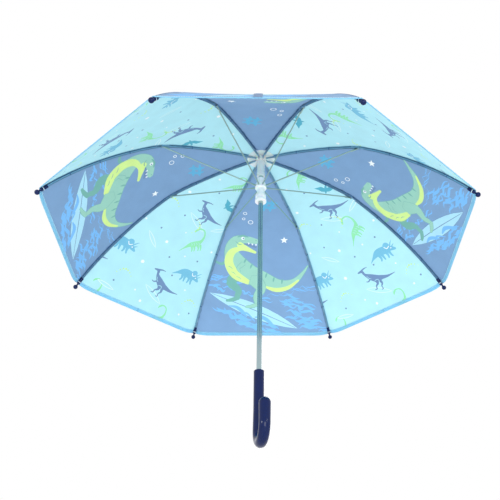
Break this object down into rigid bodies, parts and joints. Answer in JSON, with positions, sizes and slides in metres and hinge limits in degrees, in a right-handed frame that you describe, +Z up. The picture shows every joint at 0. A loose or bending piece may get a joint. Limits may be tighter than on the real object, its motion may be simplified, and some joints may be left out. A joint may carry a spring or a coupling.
{
  "type": "children's umbrella",
  "caption": "Stick umbrella for a child, shown open: folding steel ribs and stretchers on a sliding runner, printed fabric canopy, crook handle.",
  "frame": {"origin": "middle of the straight grip of the handle, on the shaft's axis", "axes": "+Z up along the shaft towards the ferrule; the crook opens towards -Y, turned 12 degrees towards +X"},
  "size_m": [0.664, 0.664, 0.5921],
  "materials": {
    "navy_fabric": "plain-weave polyester, slate navy, printed",
    "aqua_fabric": "plain-weave polyester, aqua, printed",
    "hem_fabric": "woven binding tape, sky blue",
    "rib_steel": "zinc-plated steel",
    "shaft_steel": "nickel-plated steel tube",
    "clear_plastic": "translucent white polypropylene",
    "blue_plastic": "moulded navy plastic",
    "handle_plastic": "glossy navy moulded plastic"
  },
  "bodies": {
    "stick": {"shaft": "shaft_steel", "ferrule": "blue_plastic", "crown": "clear_plastic", "crown_tie_wire": "rib_steel", "canopy_washer": "clear_plastic", "handle": "handle_plastic", "catch_rivets": "shaft_steel"},
    "rib_1": {"rib_inner_1": "rib_steel", "bracket_1": "rib_steel"},
    "rib_end_1": {"rib_outer_1": "rib_steel", "tip_1": "blue_plastic", "canopy_panel_1": "aqua_fabric"},
    "stretcher_arm_1": {"stretcher_1": "rib_steel"},
    "rib_2": {"rib_inner_2": "rib_steel", "bracket_2": "rib_steel"},
    "rib_end_2": {"rib_outer_2": "rib_steel", "tip_2": "blue_plastic", "canopy_panel_2": "navy_fabric"},
    "stretcher_arm_2": {"stretcher_2": "rib_steel"},
    "rib_3": {"rib_inner_3": "rib_steel", "bracket_3": "rib_steel"},
    "rib_end_3": {"rib_outer_3": "rib_steel", "tip_3": "blue_plastic", "canopy_panel_3": "aqua_fabric"},
    "stretcher_arm_3": {"stretcher_3": "rib_steel"},
    "rib_4": {"rib_inner_4": "rib_steel", "bracket_4": "rib_steel"},
    "rib_end_4": {"rib_outer_4": "rib_steel", "tip_4": "blue_plastic", "canopy_panel_4": "navy_fabric"},
    "stretcher_arm_4": {"stretcher_4": "rib_steel"},
    "rib_5": {"rib_inner_5": "rib_steel", "bracket_5": "rib_steel"},
    "rib_end_5": {"rib_outer_5": "rib_steel", "tip_5": "blue_plastic", "canopy_panel_5": "aqua_fabric"},
    "stretcher_arm_5": {"stretcher_5": "rib_steel"},
    "rib_6": {"rib_inner_6": "rib_steel", "bracket_6": "rib_steel"},
    "rib_end_6": {"rib_outer_6": "rib_steel", "tip_6": "blue_plastic", "canopy_panel_6": "navy_fabric", "closure_strap": "navy_fabric"},
    "stretcher_arm_6": {"stretcher_6": "rib_steel"},
    "rib_7": {"rib_inner_7": "rib_steel", "bracket_7": "rib_steel"},
    "rib_end_7": {"rib_outer_7": "rib_steel", "tip_7": "blue_plastic", "canopy_panel_7": "aqua_fabric"},
    "stretcher_arm_7": {"stretcher_7": "rib_steel"},
    "rib_8": {"rib_inner_8": "rib_steel", "bracket_8": "rib_steel"},
    "rib_end_8": {"rib_outer_8": "rib_steel", "tip_8": "blue_plastic", "canopy_panel_8": "navy_fabric"},
    "stretcher_arm_8": {"stretcher_8": "rib_steel"},
    "slider": {"runner": "clear_plastic", "runner_tie_wire": "rib_steel"},
    "top_spring": {"top_catch": "shaft_steel"},
    "bottom_spring": {"bottom_catch": "shaft_steel"}
  },
  "joints": [
    {"name": "canopy_fold", "type": "hinge", "parent": "stick", "child": "rib_1", "pos_m": [0.00739, 0.00306, 0.4365], "axis": [-0.3827, 0.9239, 0], "range_deg": [0, 77], "deforming": ["canopy_panel_1", "canopy_panel_2", "canopy_panel_3", "canopy_panel_4", "canopy_panel_5", "canopy_panel_6", "canopy_panel_7", "canopy_panel_8", "closure_strap"]},
    {"name": "rib_flex_1", "type": "hinge", "parent": "rib_1", "child": "rib_end_1", "pos_m": [0.1626, 0.06735, 0.4065], "axis": [-0.3827, 0.9239, 0], "range_deg": [-28, 0]},
    {"name": "stretcher_pivot_1", "type": "hinge", "parent": "rib_1", "child": "stretcher_arm_1", "pos_m": [0.1626, 0.06735, 0.4065], "axis": [-0.3827, 0.9239, 0], "range_deg": [-154, 0]},
    {"name": "rib_fold_2", "type": "hinge", "parent": "stick", "child": "rib_2", "pos_m": [0.00306, 0.00739, 0.4365], "axis": [-0.9239, 0.3827, 0], "range_deg": [0, 77]},
    {"name": "rib_flex_2", "type": "hinge", "parent": "rib_2", "child": "rib_end_2", "pos_m": [0.06735, 0.1626, 0.4065], "axis": [-0.9239, 0.3827, 0], "range_deg": [-28, 0]},
    {"name": "stretcher_pivot_2", "type": "hinge", "parent": "rib_2", "child": "stretcher_arm_2", "pos_m": [0.06735, 0.1626, 0.4065], "axis": [-0.9239, 0.3827, 0], "range_deg": [-154, 0]},
    {"name": "rib_fold_3", "type": "hinge", "parent": "stick", "child": "rib_3", "pos_m": [-0.00306, 0.00739, 0.4365], "axis": [-0.9239, -0.3827, 0], "range_deg": [0, 77]},
    {"name": "rib_flex_3", "type": "hinge", "parent": "rib_3", "child": "rib_end_3", "pos_m": [-0.06735, 0.1626, 0.4065], "axis": [-0.9239, -0.3827, 0], "range_deg": [-28, 0]},
    {"name": "stretcher_pivot_3", "type": "hinge", "parent": "rib_3", "child": "stretcher_arm_3", "pos_m": [-0.06735, 0.1626, 0.4065], "axis": [-0.9239, -0.3827, 0], "range_deg": [-154, 0]},
    {"name": "rib_fold_4", "type": "hinge", "parent": "stick", "child": "rib_4", "pos_m": [-0.00739, 0.00306, 0.4365], "axis": [-0.3827, -0.9239, 0], "range_deg": [0, 77]},
    {"name": "rib_flex_4", "type": "hinge", "parent": "rib_4", "child": "rib_end_4", "pos_m": [-0.1626, 0.06735, 0.4065], "axis": [-0.3827, -0.9239, 0], "range_deg": [-28, 0]},
    {"name": "stretcher_pivot_4", "type": "hinge", "parent": "rib_4", "child": "stretcher_arm_4", "pos_m": [-0.1626, 0.06735, 0.4065], "axis": [-0.3827, -0.9239, 0], "range_deg": [-154, 0]},
    {"name": "rib_fold_5", "type": "hinge", "parent": "stick", "child": "rib_5", "pos_m": [-0.00739, -0.00306, 0.4365], "axis": [0.3827, -0.9239, 0], "range_deg": [0, 77]},
    {"name": "rib_flex_5", "type": "hinge", "parent": "rib_5", "child": "rib_end_5", "pos_m": [-0.1626, -0.06735, 0.4065], "axis": [0.3827, -0.9239, 0], "range_deg": [-28, 0]},
    {"name": "stretcher_pivot_5", "type": "hinge", "parent": "rib_5", "child": "stretcher_arm_5", "pos_m": [-0.1626, -0.06735, 0.4065], "axis": [0.3827, -0.9239, 0], "range_deg": [-154, 0]},
    {"name": "rib_fold_6", "type": "hinge", "parent": "stick", "child": "rib_6", "pos_m": [-0.00306, -0.00739, 0.4365], "axis": [0.9239, -0.3827, 0], "range_deg": [0, 77]},
    {"name": "rib_flex_6", "type": "hinge", "parent": "rib_6", "child": "rib_end_6", "pos_m": [-0.06735, -0.1626, 0.4065], "axis": [0.9239, -0.3827, 0], "range_deg": [-28, 0]},
    {"name": "stretcher_pivot_6", "type": "hinge", "parent": "rib_6", "child": "stretcher_arm_6", "pos_m": [-0.06735, -0.1626, 0.4065], "axis": [0.9239, -0.3827, 0], "range_deg": [-154, 0]},
    {"name": "rib_fold_7", "type": "hinge", "parent": "stick", "child": "rib_7", "pos_m": [0.00306, -0.00739, 0.4365], "axis": [0.9239, 0.3827, 0], "range_deg": [0, 77]},
    {"name": "rib_flex_7", "type": "hinge", "parent": "rib_7", "child": "rib_end_7", "pos_m": [0.06735, -0.1626, 0.4065], "axis": [0.9239, 0.3827, 0], "range_deg": [-28, 0]},
    {"name": "stretcher_pivot_7", "type": "hinge", "parent": "rib_7", "child": "stretcher_arm_7", "pos_m": [0.06735, -0.1626, 0.4065], "axis": [0.9239, 0.3827, 0], "range_deg": [-154, 0]},
    {"name": "rib_fold_8", "type": "hinge", "parent": "stick", "child": "rib_8", "pos_m": [0.00739, -0.00306, 0.4365], "axis": [0.3827, 0.9239, 0], "range_deg": [0, 77]},
    {"name": "rib_flex_8", "type": "hinge", "parent": "rib_8", "child": "rib_end_8", "pos_m": [0.1626, -0.06735, 0.4065], "axis": [0.3827, 0.9239, 0], "range_deg": [-28, 0]},
    {"name": "stretcher_pivot_8", "type": "hinge", "parent": "rib_8", "child": "stretcher_arm_8", "pos_m": [0.1626, -0.06735, 0.4065], "axis": [0.3827, 0.9239, 0], "range_deg": [-154, 0]},
    {"name": "runner_slide", "type": "hinge", "parent": "stretcher_arm_1", "child": "slider", "pos_m": [0.00739, 0.00306, 0.3765], "axis": [-0.3827, 0.9239, 0], "range_deg": [0, 77]},
    {"name": "top_catch_press", "type": "hinge", "parent": "stick", "child": "top_spring", "pos_m": [0, -0.0003, 0.3274], "axis": [1, 0, 0], "range_deg": [0, 10], "stiffness_Nm_per_rad": 0.02},
    {"name": "bottom_catch_press", "type": "hinge", "parent": "stick", "child": "bottom_spring", "pos_m": [0, -0.0003, 0.0832], "axis": [-1, 0, 0], "range_deg": [0, 10], "stiffness_Nm_per_rad": 0.02}
  ],
  "couplings": [
    {"joint": "rib_flex_1", "follows": "canopy_fold", "ratio": -0.36},
    {"joint": "stretcher_pivot_1", "follows": "canopy_fold", "ratio": -2},
    {"joint": "rib_fold_2", "follows": "canopy_fold", "ratio": 1},
    {"joint": "rib_flex_2", "follows": "canopy_fold", "ratio": -0.36},
    {"joint": "stretcher_pivot_2", "follows": "canopy_fold", "ratio": -2},
    {"joint": "rib_fold_3", "follows": "canopy_fold", "ratio": 1},
    {"joint": "rib_flex_3", "follows": "canopy_fold", "ratio": -0.36},
    {"joint": "stretcher_pivot_3", "follows": "canopy_fold", "ratio": -2},
    {"joint": "rib_fold_4", "follows": "canopy_fold", "ratio": 1},
    {"joint": "rib_flex_4", "follows": "canopy_fold", "ratio": -0.36},
    {"joint": "stretcher_pivot_4", "follows": "canopy_fold", "ratio": -2},
    {"joint": "rib_fold_5", "follows": "canopy_fold", "ratio": 1},
    {"joint": "rib_flex_5", "follows": "canopy_fold", "ratio": -0.36},
    {"joint": "stretcher_pivot_5", "follows": "canopy_fold", "ratio": -2},
    {"joint": "rib_fold_6", "follows": "canopy_fold", "ratio": 1},
    {"joint": "rib_flex_6", "follows": "canopy_fold", "ratio": -0.36},
    {"joint": "stretcher_pivot_6", "follows": "canopy_fold", "ratio": -2},
    {"joint": "rib_fold_7", "follows": "canopy_fold", "ratio": 1},
    {"joint": "rib_flex_7", "follows": "canopy_fold", "ratio": -0.36},
    {"joint": "stretcher_pivot_7", "follows": "canopy_fold", "ratio": -2},
    {"joint": "rib_fold_8", "follows": "canopy_fold", "ratio": 1},
    {"joint": "rib_flex_8", "follows": "canopy_fold", "ratio": -0.36},
    {"joint": "stretcher_pivot_8", "follows": "canopy_fold", "ratio": -2},
    {"joint": "runner_slide", "follows": "canopy_fold", "ratio": 1}
  ]
}
